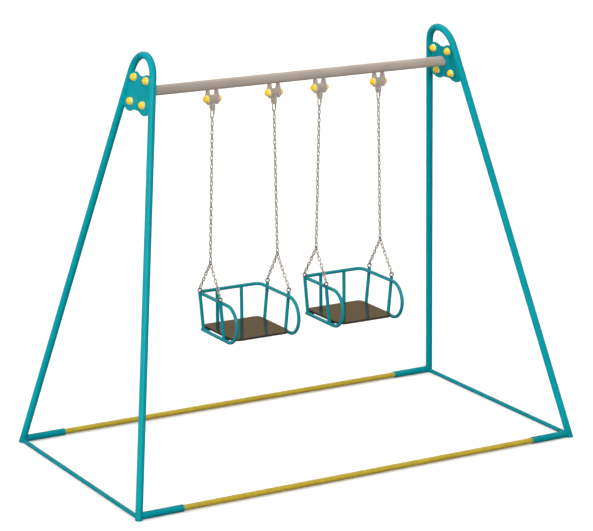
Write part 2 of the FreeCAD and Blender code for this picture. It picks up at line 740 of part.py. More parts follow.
def bearers(seat_x):
    """Two cross tubes under the plank and two short brackets to the back posts."""
    made = []
    drill = plank_holes(seat_x, MOVING_GAP)
    taken = [cylinder(SEAT_TUBE_R + WELD_GAP, foot, top) for foot, top in side_post_ends(seat_x)]
    for y in BEARER_Y:
        left = V(seat_x - RAIL_U, y, LOW_RAIL_Z)
        bar = tube(SEAT_TUBE_R, SEAT_TUBE_WALL, left, V(seat_x + RAIL_U, y, LOW_RAIL_Z))
        rails = [along_rail(seat_x + side * RAIL_U) for side in (-1, 1)]
        made.append(largest(bar.cut(rails + taken)).cut(drill))
    rear = across_seat(seat_x, BEARER_Y[1], LOW_RAIL_Z)
    for foot, top in back_post_ends(seat_x):
        start = V(foot.x, BEARER_Y[1], LOW_RAIL_Z)
        stub = tube(SEAT_TUBE_R, SEAT_TUBE_WALL, start, V(foot.x, BACK_FOOT_Y, LOW_RAIL_Z))
        post = cylinder(SEAT_TUBE_R + WELD_GAP, foot, top)
        made.append(largest(stub.cut([rear, post])))
    return made


def plank(seat_x):
    """Flat seat board with round corners and nothing showing on top."""
    width = 2 * PLANK_HALF_W
    depth = PLANK_BACK_Y - PLANK_FRONT_Y
    corner = V(seat_x - PLANK_HALF_W, PLANK_FRONT_Y, PLANK_TOP_Z - PLANK_T)
    board = Part.makeBox(width, depth, PLANK_T, corner)
    for y, radius in ((PLANK_FRONT_Y, PLANK_FRONT_CORNER_R), (PLANK_BACK_Y, PLANK_BACK_CORNER_R)):
        level = [e for e in board.Edges if abs(e.CenterOfMass.y - y) < WELD_GAP]
        board = board.makeFillet(radius, [e for e in level if e.BoundBox.XLength < WELD_GAP
                                          and e.BoundBox.ZLength > PLANK_RIM_R])
    rims = [e for e in board.Edges if abs(e.tangentAt(e.FirstParameter).z) < 0.001]
    board = board.makeFillet(PLANK_RIM_R, rims)
    return board.cut(plank_holes(seat_x, RUNNING_FIT))


def plank_fasteners(seat_x):
    """Hexagon-head screws up through the bearers into the plank, with washers."""
    screws = []
    washers = []
    washer_z = LOW_RAIL_Z - SEAT_TUBE_R - WELD_GAP - PLANK_WASHER_T
    tip_z = PLANK_TOP_Z - PLANK_SCREW_COVER - MOVING_GAP
    for x, y in plank_screw_spots(seat_x):
        shank = cylinder(PLANK_SCREW_R, V(x, y, washer_z), V(x, y, tip_z))
        head = moved(hexagon(PLANK_HEAD_AF, PLANK_HEAD_H), x, y, washer_z - PLANK_HEAD_H)
        screws.append(shank.fuse(head).removeSplitter())
        top = V(x, y, washer_z + PLANK_WASHER_T)
        ring = cylinder(PLANK_WASHER_R, V(x, y, washer_z), top)
        washers.append(ring.cut(cylinder(PLANK_SCREW_R + MOVING_GAP, V(x, y, washer_z), top)))
    return screws, washers


def eye_rings(seat_x):
    """Closed rings welded on top of the side posts."""
    rings = []
    for side in (-1, 1):
        for y_side in (-1, 1):
            rings.append(Part.makeTorus(EYE_RING_R, EYE_WIRE_R, eye_centre(seat_x, side, y_side), Y_AXIS))
    return rings


# --- build -------------------------------------------------------------------------------------
def build_frame():
    frame = a_frame_tube()
    envelope = leg_envelope()
    tie = ground_tie(envelope)
    sockets = [socket(envelope, -1), socket(envelope, 1)]
    web = web_plate(envelope)
    flange = beam_flange()
    for name, side in SIDES:
        save(name + "_a_frame_tube", [mirrored(frame, side)])
        save(name + "_ground_tie", [mirrored(tie, side)])
        save(name + "_ground_sockets", [mirrored(piece, side) for piece in sockets])
        save(name + "_web_plate", [mirrored(web, side)])
        save(name + "_beam_flange", [mirrored(flange, side)])
    save("front_ground_tube", [ground_tube(-1)])
    save("back_ground_tube", [ground_tube(1)])
    save("ground_socket_screws", [socket_screw(s, f) for s in (-1, 1) for f in (-1, 1)])
    save("crossbeam", [crossbeam()])


def build_hangers():
    ears = []
    for name, x, out in hanger_places():
        ears += [hanger_ear(x + EAR_IN), hanger_ear(x - EAR_IN - EAR_T)]
        save(name + "_hanger_housing", [hanger_housing(x)])
        save(name + "_hanger_bushes", hanger_bushes(x))
        body, sleeve = quick_link(x, out)
        save(name + "_quick_link", [body])
        save(name + "_quick_link_sleeve", [sleeve])
        save(name + "_main_chain", main_chain(x, out))
    save("hanger_ears", ears)
    flange_bolts, flange_nuts, flange_caps = flange_fasteners()
    pivot_bolts, pivot_nuts, pivot_caps = hanger_fasteners()
    save("flange_bolts", flange_bolts)
    save("flange_nuts_and_washers", flange_nuts)
    save("hanger_pivot_bolts", pivot_bolts)
    save("hanger_pivot_nuts_and_washers", pivot_nuts)
    save("bolt_caps", flange_caps + pivot_caps)


def build_seats():
    for name, side in SIDES:
        seat_x = side * SWING_X
        rings = []
        bridles = []
        for hanger, x, out in hanger_places():
            if not hanger.startswith(name):
                continue
            rings.append(split_ring(x, out))
            for y_side in (-1, 1):
                bridles += bridle_chain(x, out, seat_x, y_side)
        screws, washers = plank_fasteners(seat_x)
        save(name + "_split_rings", rings)
        save(name + "_bridle_chains", bridles)
        save(name + "_seat_eye_rings", eye_rings(seat_x))
        save(name + "_seat_side_hoops", [side_hoop(seat_x, -1), side_hoop(seat_x, 1)])
        save(name + "_seat_back_rail", [back_rail(seat_x)])
        save(name + "_seat_posts", posts(seat_x))
        save(name + "_seat_bearers", bearers(seat_x))
        save(name + "_seat_plank", [plank(seat_x)])
        save(name + "_seat_plank_screws", screws)
        save(name + "_seat_plank_washers", washers)


os.makedirs("parts", exist_ok=True)
build_frame()
build_hangers()
build_seats()
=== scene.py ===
import json
import math

import bmesh
import bpy
from mathutils import Matrix, Vector

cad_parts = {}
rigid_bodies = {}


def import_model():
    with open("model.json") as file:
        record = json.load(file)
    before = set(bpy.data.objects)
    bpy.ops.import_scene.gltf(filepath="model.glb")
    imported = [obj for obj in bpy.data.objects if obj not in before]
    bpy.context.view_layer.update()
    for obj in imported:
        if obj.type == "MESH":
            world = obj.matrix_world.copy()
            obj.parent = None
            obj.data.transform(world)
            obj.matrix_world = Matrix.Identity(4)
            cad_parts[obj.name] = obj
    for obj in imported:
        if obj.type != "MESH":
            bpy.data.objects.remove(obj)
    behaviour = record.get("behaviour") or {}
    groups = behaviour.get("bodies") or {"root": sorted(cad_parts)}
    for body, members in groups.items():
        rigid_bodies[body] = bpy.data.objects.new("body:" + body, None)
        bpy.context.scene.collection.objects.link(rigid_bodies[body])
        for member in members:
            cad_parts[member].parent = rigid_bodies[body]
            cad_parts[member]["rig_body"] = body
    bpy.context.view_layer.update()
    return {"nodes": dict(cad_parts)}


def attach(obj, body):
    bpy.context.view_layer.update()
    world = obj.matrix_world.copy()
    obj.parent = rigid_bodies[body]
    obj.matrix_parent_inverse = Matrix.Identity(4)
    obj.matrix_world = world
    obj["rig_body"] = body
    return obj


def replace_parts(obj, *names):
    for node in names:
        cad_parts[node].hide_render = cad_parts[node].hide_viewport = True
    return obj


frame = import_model()

X_AXIS = Vector((1, 0, 0))
Y_AXIS = Vector((0, 1, 0))
Z_AXIS = Vector((0, 0, 1))
SIDES = (("left", -1), ("right", 1))
STAND = "stand"

# --- sizes, in metres -------------------------------------------------------------------------
LEAN = math.radians(11.0)
LEG_ANGLE = math.atan(0.27466)
FOOT_X = 1.3288
FOOT_Y = 0.7138
TIE_Z = 0.011
TIE_R = 0.011
LEG_R = 0.019
SOCKET_R = 0.019
SOCKET_END_X = 1.078
BEAM_R = 0.027
BEAM_SLOPE = 2.060
BEAM_Z = TIE_Z + BEAM_SLOPE * math.cos(LEAN)
WEB_T = 0.005
FLANGE_T = 0.006
WEB_WELD_LOW = -0.081
WEB_WELD_HIGH = 0.086
BOLT_Y = 0.070
BOLT_S = 0.063
BOLT_RISE = 0.004

SWING_X = 0.3256
HANGER_U = 0.185
PIVOT_Z = 1.958
EAR_IN = 0.023
EAR_T = 0.005
EAR_WELD_HALF = 0.015
CAP_R = 0.0205
CAP_SKIRT = 0.006
CAP_DOME = 0.020
CAP_BORE_R = 0.0124
CAP_BORE_H = 0.0148

QUICK_WIRE = 0.006
QUICK_BOW_R = 0.009
QUICK_LENGTH = 0.050
QUICK_TOP_Z = 1.9060
LINK_WIRE = 0.005
LINK_INNER_W = 0.008
LINK_GAP = 0.0003
LINK_SWELL = 0.16
LINK_WELD_REACH = 0.0011
LINK_SIDES = 10
QUICK_SIDES = 16
RING_STEPS = 40
RING_SIDES = 14
BOW_STEPS = 10
LEG_STEPS = 12
MAIN_LINKS = 34
BRIDLE_LINKS = 9
SPLIT_Z = 1.078
SPLIT_RING_R = 0.0105

SEAT_R = 0.0095
EYE_WIRE_R = 0.003
EYE_RING_R = 0.011
EYE_U = 0.2085
POST_Y = 0.116
POST_TOP_Z = 0.883
FIT_GAP = 0.0001
EYE_Z = POST_TOP_Z + EYE_RING_R + EYE_WIRE_R + FIT_GAP
RAIL_U = 0.188
RAIL_Z = 0.872
LOW_RAIL_Z = 0.672
BACK_RAIL_Y = 0.170
BACK_CORNER_R = 0.036
BACK_POST_U = 0.075
BACK_FOOT_Y = 0.166
BACK_FOOT_Z = 0.659
BEARER_Y = (-0.100, 0.119)
PLANK_HALF_W = 0.176
PLANK_FRONT_Y = -0.204
PLANK_BACK_Y = 0.155
PLANK_T = 0.012
PLANK_TOP_Z = LOW_RAIL_Z + SEAT_R + FIT_GAP + PLANK_T
PLANK_FRONT_CORNER_R = 0.050
PLANK_BACK_CORNER_R = 0.030
PLIES = 9

# weld beads: radii, the lowest point of one near the ground, and their ripples as parts of the radius
WELD_FLOOR = 0.0002
WELD_STEP = 0.45
WELD_RIPPLE_PITCH = 1.7
WELD_LOW = 0.86
WELD_RIPPLE = 0.16
WELD_END = 0.4
WELD_SIDES = 9
TIE_BEAD = 0.0016
SOCKET_BEAD = 0.0020
PLATE_BEAD = 0.0022
BEAM_BEAD = 0.0024
EAR_BEAD = 0.0018
SEAT_BEAD = 0.0013
RAIL_BEAD = 0.0011
POST_SIDE_BEAD = 0.0018
POST_SIDE_R = 0.0048
POST_TOP_BEAD = 0.0017
POST_TOP_R = 0.0035

# covers; the skirt's outline gives insets from the widest radius, and heights above the foot
CAP_SIDES = 40
CAP_DOME_STEPS = 14
CAP_BREAK = 0.0005
CAP_STEP = 0.0009
CAP_SKIRT_OUTLINE = ((0.0006, 0.0), (0.0001, CAP_BREAK), (0.0, 0.0012), (0.0, 0.0046),
                     (0.0003, 0.0052), (CAP_STEP, 0.0056), (CAP_STEP, CAP_SKIRT))

# shading breaks, in degrees
SHARP_ANGLE = 35.0
WELD_SHARP_ANGLE = 60.0
BOARD_SHARP_ANGLE = 40.0
CAD_SHARP_ANGLE = 30.0
CAD_FLAT_ANGLE = 0.2

# eased edges of the boards, and the grooves between plies
BOARD_FACE_INSET = 0.0020
BOARD_CORNER_INSET = 0.0008
BOARD_CORNER_RISE = 0.0003
BOARD_CORNER_H = 0.0012
BOARD_FLAT_INSET = 0.012
PLY_GROOVE = 0.00025
PLY_GROOVE_HALF = 0.00022
PLY_GROOVE_CLEAR = 0.0014

# studio
FLOOR_HALF = 120.0
FLOOR_DROP = 0.0005
BACKDROP_R = 118.0
BACKDROP_H = 130.0
BACKDROP_FOOT = -0.001
CAMERA_PLACE = (-6.66257, -11.54243, 4.45133)
CAMERA_HEADING = (0.483765, 0.838334, -0.251330)
CAMERA_LENS = 154.15
CAMERA_SENSOR = 36.0
CAMERA_REACH = 400.0
SKY_STRENGTH = 0.95
LIGHT_TINT = (1.0, 0.99, 0.97)
# name, energy, spread in degrees, heading, casts shadows, seen in reflections only
SUNS = (("key", 2.35, 20, (5.0, 12.0, -6.5), True, False),
        ("glint", 1.2, 4, (5.5, 12.0, -6.5), True, True),
        ("fill", 1.9, 50, (12.0, 1.0, -3.0), False, False),
        ("rear", 1.2, 50, (-7.0, -9.0, -4.0), False, False))


# --- materials --------------------------------------------------------------------------------
def new_material(name):
    material = bpy.data.materials.new(name)
    material.use_nodes = True
    tree = material.node_tree
    shader = tree.nodes["Principled BSDF"]
    return material, tree, shader


def node(tree, kind, inputs=None, **settings):
    made = tree.nodes.new(kind)
    for key, value in settings.items():
        setattr(made, key, value)
    for key, value in (inputs or {}).items():
        if isinstance(value, bpy.types.NodeSocket):
            tree.links.new(value, made.inputs[key])
        else:
            made.inputs[key].default_value = value
    return made


def noise(tree, coords, scale, detail=2.0, rough=0.5):
    made = node(tree, "ShaderNodeTexNoise",
                {"Vector": coords, "Scale": scale, "Detail": detail, "Roughness": rough})
    return made.outputs["Fac"]


def ramp(tree, value, stops):
    made = node(tree, "ShaderNodeValToRGB", {"Fac": value})
    elements = made.color_ramp.elements
    while len(elements) < len(stops):
        elements.new(0.5)
    for element, (place, colour) in zip(elements, stops):
        element.position = place
        element.color = (*colour, 1.0)
    return made.outputs["Color"]


def remap(tree, value, low, high, to_low, to_high):
    made = node(tree, "ShaderNodeMapRange",
                {"Value": value, "From Min": low, "From Max": high, "To Min": to_low, "To Max": to_high})
    return made.outputs["Result"]


def mixed(tree, factor, first, second, blend="MIX"):
    made = node(tree, "ShaderNodeMix", data_type="RGBA", blend_type=blend)
    for index, value in ((0, factor), (6, first), (7, second)):
        if isinstance(value, bpy.types.NodeSocket):
            tree.links.new(value, made.inputs[index])
        else:
            made.inputs[index].default_value = value
    return made.outputs[2]


def maths(tree, operation, first, second):
    made = node(tree, "ShaderNodeMath", {0: first, 1: second}, operation=operation)
    return made.outputs["Value"]


def bumped(tree, shader, height, strength, distance):
    made = node(tree, "ShaderNodeBump", {"Height": height, "Strength": strength, "Distance": distance})
    tree.links.new(made.outputs["Normal"], shader.inputs["Normal"])


def scaled(colour, factor):
    return tuple(min(1.0, c * factor) for c in colour)


def powder_coat(name, colour, roughness, specular, flatness, dusty=True):
    """Sprayed and baked paint: faint orange peel, uneven gloss, grime near the ground."""
    material, tree, shader = new_material(name)
    coords = node(tree, "ShaderNodeTexCoord").outputs["Object"]
    clouds = noise(tree, coords, 9.0, 4.0)
    tone = ramp(tree, clouds, ((0.3, scaled(colour, 0.93)), (0.7, scaled(colour, 1.06))))
    if dusty:
        height = node(tree, "ShaderNodeSeparateXYZ", {"Vector": coords}).outputs["Z"]
        low = remap(tree, height, 0.0, 0.10, 0.60, 0.0)
        specks = noise(tree, coords, 55.0, 5.0, 0.7)
        spots = remap(tree, specks, 0.35, 0.65, 0.3, 1.0)
        tone = mixed(tree, maths(tree, "MULTIPLY", low, spots), tone, (*scaled(colour, 0.30), 1.0))
    tree.links.new(tone, shader.inputs["Base Color"])
    gloss = noise(tree, coords, 40.0, 3.0)
    tree.links.new(remap(tree, gloss, 0.3, 0.7, roughness - 0.04, roughness + 0.05),
                   shader.inputs["Roughness"])
    shader.inputs["Specular IOR Level"].default_value = specular
    shader.inputs["Diffuse Roughness"].default_value = flatness
    bumped(tree, shader, noise(tree, coords, 700.0, 2.0), 0.12, 0.0002)
    return material


def zinc(name, colour, dark, roughness):
    """Hot-dip galvanised steel: dull grey with faint spangle and darker random stains."""
    material, tree, shader = new_material(name)
    coords = node(tree, "ShaderNodeTexCoord").outputs["Object"]
    spangle = node(tree, "ShaderNodeTexVoronoi", {"Vector": coords, "Scale": 420.0})
    grey = node(tree, "ShaderNodeRGBToBW", {"Color": spangle.outputs["Color"]}).outputs["Val"]
    plates = ramp(tree, grey, ((0.1, scaled(colour, 0.86)), (0.9, scaled(colour, 1.08))))
    stains = remap(tree, noise(tree, coords, 90.0, 5.0, 0.65), 0.5, 0.8, 0.0, 0.6)
    tree.links.new(mixed(tree, stains, plates, (*dark, 1.0)), shader.inputs["Base Color"])
    shader.inputs["Metallic"].default_value = 0.85
    wear = noise(tree, coords, 260.0, 3.0)
    tree.links.new(remap(tree, wear, 0.3, 0.7, roughness - 0.08, roughness + 0.1),
                   shader.inputs["Roughness"])
    bumped(tree, shader, noise(tree, coords, 1500.0, 3.0), 0.25, 0.0002)
    return material


def moulded(name, colour, deep, roughness, specular):
    """Injection-moulded plastic: even colour with slight random tone, fine texture."""
    material, tree, shader = new_material(name)
    coords = node(tree, "ShaderNodeTexCoord").outputs["Object"]
    tone = ramp(tree, noise(tree, coords, 60.0, 3.0), ((0.3, deep), (0.7, colour)))
    tree.links.new(tone, shader.inputs["Base Color"])
    gloss = noise(tree, coords, 200.0, 2.0)
    tree.links.new(remap(tree, gloss, 0.3, 0.7, roughness - 0.04, roughness + 0.05),
                   shader.inputs["Roughness"])
    shader.inputs["Specular IOR Level"].default_value = specular
    bumped(tree, shader, noise(tree, coords, 2200.0, 2.0), 0.06, 0.0001)
    return material


def cover_plastic():
    """Moulded yellow plastic with a sheen; its colour paints light and shade: paler at the rim as a painted
    highlight, deeper towards the middle of the dome as painted shade.
    """
    material, tree, shader = new_material("yellow_plastic")
    coords = node(tree, "ShaderNodeTexCoord").outputs["Object"]
    # painted_cap_shade runs from 0 at a cover's rim to 1 at the middle of its dome; the ramp below turns it,
    # with a little random tone, into painted light and shade
    painted_cap_shade = node(tree, "ShaderNodeAttribute", attribute_name="painted_cap_shade").outputs["Fac"]
    cloud = remap(tree, noise(tree, coords, 70.0, 3.0), 0.3, 0.7, -0.06, 0.06)
    painted_shade_and_tone = maths(tree, "ADD", painted_cap_shade, cloud)
    # the pale rim colour is a painted highlight; the deep orange of the middle is painted shade
    tone = ramp(tree, painted_shade_and_tone, ((0.0, (0.84, 0.74, 0.22)), (0.08, (0.80, 0.57, 0.05)),
                              (0.24, (0.76, 0.43, 0.016))))
    tree.links.new(tone, shader.inputs["Base Color"])
    gloss = noise(tree, coords, 200.0, 2.0)
    tree.links.new(remap(tree, gloss, 0.3, 0.7, 0.26, 0.36), shader.inputs["Roughness"])
    shader.inputs["Specular IOR Level"].default_value = 0.2
    shader.inputs["Sheen Weight"].default_value = 0.8
    shader.inputs["Sheen Roughness"].default_value = 0.35
    shader.inputs["Sheen Tint"].default_value = (1.0, 1.0, 0.55, 1.0)
    bumped(tree, shader, noise(tree, coords, 2200.0, 2.0), 0.06, 0.0001)
    return material


def film_ply():
    """Brown film-faced plywood: faint grain under a glossy film, striped plies on the edge."""
    material, tree, shader = new_material("film_faced_plywood")
    coords = node(tree, "ShaderNodeTexCoord").outputs["Object"]
    parts = node(tree, "ShaderNodeSeparateXYZ", {"Vector": coords})
    stretched = node(tree, "ShaderNodeMapping", {"Vector": coords, "Scale": (3.0, 42.0, 60.0)})
    grain = noise(tree, stretched.outputs["Vector"], 3.0, 6.0, 0.6)
    face = ramp(tree, grain, ((0.3, (0.006, 0.003, 0.001)), (0.5, (0.020, 0.009, 0.005)),
                              (0.75, (0.070, 0.040, 0.022))))
    ply_pitch = PLANK_T / PLIES
    layers = maths(tree, "PINGPONG", parts.outputs["Z"], ply_pitch)
    stripe = remap(tree, layers, 0.3 * ply_pitch, 0.7 * ply_pitch, 0.0, 1.0)
    thin = node(tree, "ShaderNodeMapping", {"Vector": coords, "Scale": (90.0, 90.0, 700.0)})
    edge_grain = noise(tree, thin.outputs["Vector"], 2.0, 3.0)
    edge = mixed(tree, stripe, (0.008, 0.004, 0.003, 1.0), (0.018, 0.008, 0.005, 1.0))
    edge = mixed(tree, remap(tree, edge_grain, 0.4, 0.7, 0.0, 0.4), edge, (0.010, 0.006, 0.004, 1.0))
    normal = node(tree, "ShaderNodeNewGeometry").outputs["Normal"]
    facing = node(tree, "ShaderNodeSeparateXYZ", {"Vector": normal})
    flatness = remap(tree, maths(tree, "ABSOLUTE", facing.outputs["Z"], 0.0), 0.75, 0.95, 0.0, 1.0)
    tree.links.new(mixed(tree, flatness, edge, face), shader.inputs["Base Color"])
    scuffs = noise(tree, coords, 28.0, 5.0, 0.7)
    face_gloss = remap(tree, scuffs, 0.35, 0.75, 0.05, 0.11)
    rough = node(tree, "ShaderNodeMix", {0: flatness, 2: 0.5, 3: face_gloss}, data_type="FLOAT")
    tree.links.new(rough.outputs[0], shader.inputs["Roughness"])
    shader.inputs["Specular IOR Level"].default_value = 0.5
    shader.inputs["IOR"].default_value = 1.62
    bumped(tree, shader, grain, 0.02, 0.0004)
    return material


TEAL = powder_coat("teal_powder_coat", (0.0, 0.242, 0.294), 0.24, 0.06, 0.0)
# the seats' teal: a glossier finish, and a darker base colour that is painted shade
SHADED_SEAT_TEAL = powder_coat("glossy_shaded_teal_powder_coat", (0.0, 0.185, 0.226), 0.20, 0.22, 0.0, dusty=False)
GREY = powder_coat("grey_powder_coat", (0.34, 0.296, 0.270), 0.40, 0.06, 1.0, dusty=False)
MUSTARD = powder_coat("mustard_powder_coat", (0.45, 0.34, 0.034), 0.30, 0.10, 0.0)
YELLOW = cover_plastic()
ZINC = zinc("galvanised_steel", (0.52, 0.48, 0.44), (0.28, 0.25, 0.22), 0.42)
DARK_STEEL = zinc("dark_steel", (0.048, 0.046, 0.085), (0.028, 0.026, 0.048), 0.38)
NYLON = moulded("black_nylon", (0.030, 0.030, 0.032), (0.020, 0.020, 0.022), 0.45, 0.4)
PLY = film_ply()
BY_SLOT = {"teal_paint": TEAL, "grey_paint": GREY, "yellow_paint": MUSTARD, "yellow_plastic": YELLOW,
           "zinc_steel": ZINC, "dark_steel": DARK_STEEL, "nylon": NYLON, "plywood": PLY}


def paint_for(slot, body):
    """The slot's material; the seats' teal is glossier than the stand's, and its darker base colour is
    painted shade.
    """
    if slot == "teal_paint" and body.endswith("_seat"):
        return SHADED_SEAT_TEAL
    return BY_SLOT[slot]


# --- mesh helpers -----------------------------------------------------------------------------
class Mesh:
    """Vertices and faces gathered from several shapes, then made into one piece."""

    def __init__(self):
        self.verts = []
        self.faces = []
        # how far in from a cover's rim each point is, for the covers' painted light and shade
        self.painted_cap_shade = []

    def add(self, verts, faces):
        start = len(self.verts)
        self.verts += [Vector(v) for v in verts]
        self.faces += [[start + i for i in face] for face in faces]

    def rings(self, rings, closed):
        """Skin between rings of equal size; closed joins the last to the first, else ends are capped."""
        sides = len(rings[0])
        verts = [v for ring in rings for v in ring]
        faces = []
        count = len(rings)
        for k in range(count if closed else count - 1):
            a, b = k * sides, ((k + 1) % count) * sides
            for i in range(sides):
                j = (i + 1) % sides
                faces.append((a + i, a + j, b + j, b + i))
        if not closed:
            faces.append(tuple(reversed(range(sides))))
            faces.append(tuple(range((count - 1) * sides, count * sides)))
        self.add(verts, faces)

    def piece(self, name, body, slot, sharp_angle=SHARP_ANGLE):
        """The gathered shapes as one object that rides on a body."""
        mesh = bpy.data.meshes.new(name)
        mesh.from_pydata([tuple(v) for v in self.verts], [], self.faces)
        bm = bmesh.new()
        bm.from_mesh(mesh)
        bmesh.ops.recalc_face_normals(bm, faces=bm.faces)
        mark_sharp(bm, sharp_angle)
        bm.to_mesh(mesh)
        bm.free()
        made = bpy.data.objects.new(name, mesh)
        bpy.context.scene.collection.objects.link(made)
        mesh.materials.append(paint_for(slot, body))
        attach(made, body)
        return made


def mark_sharp(bm, angle):
    """Smooth shading, broken at open edges and at edges sharper than the angle."""
    for face in bm.faces:
        face.smooth = True
    for edge in bm.edges:
        edge.smooth = len(edge.link_faces) == 2 and edge.calc_face_angle(0.0) < math.radians(angle)


def carried(points, closed):
    """Two cross directions at each point of a path, carried along it without twist."""
    count = len(points)
    along = []
    for k in range(count):
        before = points[k - 1] if closed or k else points[0]
        after = points[(k + 1) % count] if closed or k < count - 1 else points[-1]
        along.append((after - before).normalized())
    side = along[0].orthogonal().normalized()
    frames = []
    for direction in along:
        side = (side - direction * side.dot(direction)).normalized()
        frames.append((side, direction.cross(side)))
    return frames


def ring_of(centre, radius, u, v, sides):
    """Points round a circle in the plane of two directions."""
    angles = [math.tau * i / sides for i in range(sides)]
    return [centre + u * (radius * math.cos(a)) + v * (radius * math.sin(a)) for a in angles]


def circle(centre, radius, axis, steps=24):
    """Points round a circle about an axis."""
    u = axis.orthogonal().normalized()
    return ring_of(centre, radius, u, axis.cross(u), steps)


def sweep(points, radii, sides, closed):
    """Round rings of the given radii, one at each point of a path."""
    return [ring_of(point, radius, u, v, sides)
            for point, radius, (u, v) in zip(points, radii, carried(points, closed))]


def refined(name, width):
    """A CAD node's shape with its sharp edges rounded over."""
    source = frame["nodes"][name]
    body = source["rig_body"]
    slot = source.material_slots[0].material.name.split(".")[0]
    mesh = source.data.copy()
    bm = bmesh.new()
    bm.from_mesh(mesh)
    bmesh.ops.remove_doubles(bm, verts=bm.verts, dist=1e-6)
    bmesh.ops.dissolve_limit(bm, angle_limit=math.radians(CAD_FLAT_ANGLE), verts=bm.verts, edges=bm.edges,
                             use_dissolve_boundaries=False)
    mark_sharp(bm, CAD_SHARP_ANGLE)
    bm.to_mesh(mesh)
    bm.free()
    if mesh.has_custom_normals:
        mesh.attributes.remove(mesh.attributes["custom_normal"])
    made = bpy.data.objects.new(name + "_finished", mesh)
    bpy.context.scene.collection.objects.link(made)
    bevel = made.modifiers.new("edges", "BEVEL")
    bevel.width = width
    bevel.segments = 2
    bevel.limit_method = "ANGLE"
    bevel.angle_limit = math.radians(CAD_SHARP_ANGLE)
    bevel.use_clamp_overlap = True
    bevel.harden_normals = True
    mesh.materials.clear()
    mesh.materials.append(paint_for(slot, body))
    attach(made, body)
    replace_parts(made, name)


# --- chains, rings and links ------------------------------------------------------------------
def oval_path(bow_r, half_straight):
    """Centreline of a link in its own XZ plane; the closing weld sits on the +X leg."""
    points = []
    for k in range(BOW_STEPS + 1):
        a = math.pi * k / BOW_STEPS
        points.append((bow_r * math.cos(a), half_straight + bow_r * math.sin(a)))
    for k in range(1, 3):
        points.append((-bow_r, half_straight * (1 - 2 * k / 3)))
    for k in range(BOW_STEPS + 1):
        a = math.pi + math.pi * k / BOW_STEPS
        points.append((bow_r * math.cos(a), -half_straight + bow_r * math.sin(a)))
    for k in range(1, LEG_STEPS):
        points.append((bow_r, half_straight * (2 * k / LEG_STEPS - 1)))
    return [Vector((x, 0, z)) for x, z in points]


def weld_swell(point, bow_r, radius, swell):
    """Wire radius at a point of a link: larger at the butt weld in the middle of the +X leg."""
    if point.x < bow_r * 0.98:
        return radius
    return radius * (1 + swell * math.exp(-(point.z / LINK_WELD_REACH) ** 2))


def link_shape(wire, bow_r, half_straight, sides, swell):
    """An oval link of round wire, in its own XZ plane."""
    path = oval_path(bow_r, half_straight)
    radii = [weld_swell(point, bow_r, wire / 2, swell) for point in path]
    return sweep(path, radii, sides, True)


def placed(rings, x_dir, y_dir, z_dir, origin):
    """Rings turned to new axes and moved to a new origin."""
    turn = Matrix((x_dir, y_dir, z_dir)).transposed()
    return [[origin + turn @ v for v in ring] for ring in rings]


def chain(mesh, first, last, count, start_angle, twist):
    """Interlocked links whose inner end faces lie between two points."""
    run = last - first
    heading = run.normalized()
    inner_length = (run.length + (count - 1) * LINK_GAP) / count
    across = (X_AXIS - heading * X_AXIS.dot(heading)).normalized()
    third = heading.cross(across)
    bow_r = (LINK_INNER_W + LINK_WIRE) / 2
    link = link_shape(LINK_WIRE, bow_r, (inner_length - LINK_INNER_W) / 2, LINK_SIDES, LINK_SWELL)
    for k in range(count):
        flip = math.pi if k % 4 > 1 else 0.0
        angle = math.radians(start_angle + k * (90.0 + twist)) + flip
        width = across * math.cos(angle) + third * math.sin(angle)
        centre = first + heading * (inner_length / 2 + k * (inner_length - LINK_GAP))
        mesh.rings(placed(link, width, heading.cross(width), heading, centre), True)


def hanger_places():
    """Name, side name, middle and outward direction of each hanger."""
    places = []
    for name, side in SIDES:
        places.append((name + "_outer", name, side * (SWING_X + HANGER_U), side))
        places.append((name + "_inner", name, side * (SWING_X - HANGER_U), -side))
    return places


def chain_x(x, out, z):
    """Where a main chain is at a height; it leans out to the seat's wider eyes."""
    lean = (EYE_U - HANGER_U) / (QUICK_TOP_Z - EYE_Z - EYE_RING_R)
    return x + out * lean * (QUICK_TOP_Z - z)


def torus_rings(centre, ring_r, wire_r, axis):
    """A round wire ring."""
    return sweep(circle(centre, ring_r, axis, RING_STEPS), [wire_r] * RING_STEPS, RING_SIDES, True)


def hung_parts():
    """Quick links and main chains, which hang from the housings."""
    for hanger, _, x, out in hanger_places():
        body = hanger + "_hanger"
        top = Vector((x, 0, QUICK_TOP_Z))
        split = Vector((chain_x(x, out, SPLIT_Z), 0, SPLIT_Z))
        down = (split - top).normalized()
        half = QUICK_LENGTH / 2
        link = Mesh()
        shape = link_shape(QUICK_WIRE, QUICK_BOW_R, half - QUICK_BOW_R, QUICK_SIDES, 0.0)
        link.rings(placed(shape, Y_AXIS.cross(-down), Y_AXIS, -down, top + down * half), True)
        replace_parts(link.piece(hanger + "_quick_link_body", body, "zinc_steel"), hanger + "_quick_link")
        links = Mesh()
        first = top + down * (QUICK_LENGTH - QUICK_WIRE / 2 - LINK_GAP / 2)
        chain(links, first, split - down * (LINK_WIRE / 2), MAIN_LINKS, 90.0, 0.0)
        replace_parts(links.piece(hanger + "_welded_chain", body, "zinc_steel"), hanger + "_main_chain")


def split_ring_centre(x, out):
    """Middle of the ring that hangs in the last link of a main chain."""
    z = SPLIT_Z + LINK_WIRE + LINK_GAP / 2 - SPLIT_RING_R
    return Vector((chain_x(x, out, z), 0, z))


